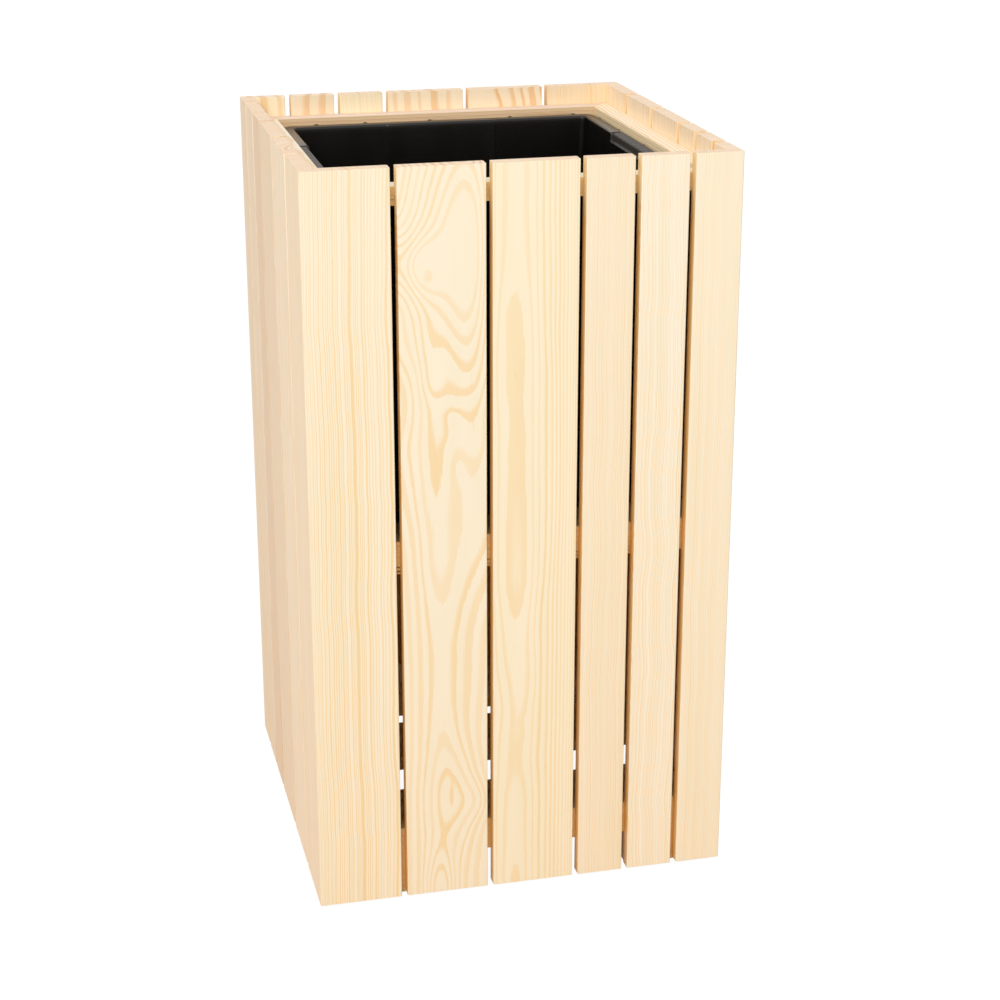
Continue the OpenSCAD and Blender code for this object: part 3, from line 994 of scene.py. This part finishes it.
def tub_material():
    """Black plastic with flow shades and scuffs, duller on the grips, with painted warm bounce
    light on the outer walls.
    """
    material, g, shader = new_material("black_moulded_plastic")
    coordinates = g.add("ShaderNodeTexCoord").outputs
    where = coordinates["Object"]
    fine = g.noise(where, FINE_SCALE, 3.0, 0.6)
    flow = g.noise(g.scaled(where, FLOW_SCALES), 1.0, 3.0, 0.6)
    scuff = g.noise(g.scaled(where, SCUFF_SCALES), 1.0, 4.0, 0.65)
    grip = grip_area(g, where)

    tone = g.math("ADD", g.math("MULTIPLY", flow, 0.6), 0.5)
    colour = g.mix(tone, PLASTIC_DARK, PLASTIC_LIGHT)
    scuffed = g.math("MULTIPLY", g.ramp(scuff, 0.12, 0.3), 0.12)
    colour = g.mix(scuffed, colour, PLASTIC_SCUFFED)
    # painted warm bounce light on the outer walls below the lip
    outside = outside_area(g, where, coordinates["Normal"])
    colour = g.mix(outside, colour, PLASTIC_OUTSIDE_WARM_LIT)
    colour = g.mix(g.math("MULTIPLY", grip, 0.8), colour, PLASTIC_GRIP)
    g.plug(shader.inputs["Base Color"], colour)

    rough = g.math("MULTIPLY_ADD", flow, 0.10, g.math("MULTIPLY_ADD", grip, 0.22, 0.25))
    g.plug(shader.inputs["Roughness"], g.math("MULTIPLY_ADD", scuff, 0.05, rough))
    g.relief(shader, g.math("MULTIPLY_ADD", scuff, 0.35, fine), 0.03 * MM, 0.35)
    return material


# ---------------------------------------------------------------- studio

WHITE = (1.0, 1.0, 1.0, 1.0)
FLOOR_HALF = 12.0                       # metres, as all lengths from here on
FLOOR_BELOW = 0.0005                    # gap under the feet
FLOOR_NEAR = (1.06, 0.71, 0.41, 1.0)    # the floor by the bin sends warm light back at it
FLOOR_FAR = (1.0, 0.98, 0.96, 1.0)
NEAR_REACH = 0.5
FAR_REACH = 2.1
FLOOR_TONE = 0.48                       # share of the light that its paint sends back
FLOOR_GLOW = 1.15                       # what the camera and reflections see of it,
FLOOR_GLOW_SHARE = 0.84                 # with the rest of the view left to the paint
FILL_COLOUR = (1.0, 0.97, 0.94, 1.0)
FILL_STRENGTH = 0.85
KEY_PLACE = (-2.9, -5.0, 4.2)
KEY_AIM_ABOVE = 0.25                    # over the bin's middle
KEY_SIZE = (3.2, 2.2)
KEY_POWER = 195.0
KEY_COLOUR = (0.97, 0.99, 1.0)
CAMERA_PLACE = (-0.5376, -2.3324, 1.2710)
CAMERA_YAW = math.radians(13.662)       # turned right from facing the bin's front
CAMERA_PITCH = math.radians(18.98)      # downwards
CAMERA_LENS = 76.1                      # millimetres
CAMERA_SENSOR = 36.0
CAMERA_SHIFT = -0.045


def seen_directly(g):
    """1 for camera, glossy and transmission rays, 0 for the light that falls on things."""
    rays = g.add("ShaderNodeLightPath").outputs
    seen = g.math("MAXIMUM", rays["Is Camera Ray"], rays["Is Glossy Ray"])
    return g.math("MAXIMUM", seen, rays["Is Transmission Ray"])


def cleared(data):
    """The graph of a new material or world, with nothing in it yet."""
    data.use_nodes = True
    data.node_tree.nodes.clear()
    return Graph(data.node_tree)


def mixed_output(g, kind, factor, first, second):
    """Plugs a mix of two shaders into the material's or world's output."""
    blend = g.add("ShaderNodeMixShader")
    g.plug(blend.inputs[0], factor)
    g.plug(blend.inputs[1], first.outputs[0])
    g.plug(blend.inputs[2], second.outputs[0])
    g.plug(g.add(kind).inputs["Surface"], blend.outputs[0])


def floor_material():
    """White to the camera and in reflections, with the object's own soft shadow kept."""
    material = bpy.data.materials.new("studio_floor")
    g = cleared(material)
    seen = seen_directly(g)
    place = g.add("ShaderNodeTexCoord").outputs["Object"]
    near = g.ramp(g.vector("LENGTH", place), FAR_REACH, NEAR_REACH)
    near = g.math("SUBTRACT", near, seen, clamp=True)
    colour = g.mix(near, FLOOR_FAR, FLOOR_NEAR)
    tone = g.math("MULTIPLY_ADD", g.noise(place, 40.0, 3.0), 0.004, FLOOR_TONE)
    paint = g.add("ShaderNodeBsdfDiffuse")
    g.plug(paint.inputs["Color"], g.mix(1.0, colour, g.grey(tone), "MULTIPLY"))
    glow = g.add("ShaderNodeEmission")
    glow.inputs["Strength"].default_value = FLOOR_GLOW
    share = g.math("MULTIPLY", seen, FLOOR_GLOW_SHARE)
    mixed_output(g, "ShaderNodeOutputMaterial", share, paint, glow)
    return material


def build_floor():
    bm = bmesh.new()
    bmesh.ops.create_grid(bm, x_segments=8, y_segments=8, size=FLOOR_HALF)
    floor = mesh_object("studio_floor", bm)
    floor.location.z = CAD_LOW.z - FLOOR_BELOW
    floor.data.materials.append(floor_material())


def background(g, colour, strength):
    node = g.add("ShaderNodeBackground")
    node.inputs["Color"].default_value = colour
    node.inputs["Strength"].default_value = strength
    return node


def build_world():
    """A soft fill from all round, behind a background that shows white."""
    world = bpy.data.worlds.new("studio")
    g = cleared(world)
    fill = background(g, FILL_COLOUR, FILL_STRENGTH)
    backdrop = background(g, WHITE, 1.0)
    mixed_output(g, "ShaderNodeOutputWorld", seen_directly(g), fill, backdrop)
    bpy.context.scene.world = world


def build_key_light():
    """One large soft box, from the front and to the left."""
    middle = (CAD_LOW + CAD_HIGH) / 2
    target = middle + Vector((0, 0, KEY_AIM_ABOVE))
    data = bpy.data.lights.new("key_softbox", "AREA")
    data.shape = "RECTANGLE"
    data.size, data.size_y = KEY_SIZE
    data.energy = KEY_POWER
    data.color = KEY_COLOUR
    lamp = new_object("key_softbox", data)
    lamp.location = KEY_PLACE
    aim = target - Vector(KEY_PLACE)
    lamp.rotation_euler = aim.to_track_quat("-Z", "Y").to_euler()


def build_camera():
    """The photograph's viewing angle: from the front, to the left, looking down 19 degrees."""
    data = bpy.data.cameras.new("view")
    data.sensor_width = CAMERA_SENSOR
    data.lens = CAMERA_LENS
    data.shift_y = CAMERA_SHIFT
    camera = new_object("view", data)
    camera.location = CAMERA_PLACE
    level = math.cos(CAMERA_PITCH)
    forward = Vector((math.sin(CAMERA_YAW) * level, math.cos(CAMERA_YAW) * level,
                      -math.sin(CAMERA_PITCH)))
    camera.rotation_euler = forward.to_track_quat("-Z", "Y").to_euler()
    bpy.context.scene.camera = camera


# ---------------------------------------------------------------- build everything

dress_wood()
dress_screws()
build_tub()
build_floor()
build_world()
build_key_light()
build_camera()
bpy.context.scene.view_settings.view_transform = "Standard"
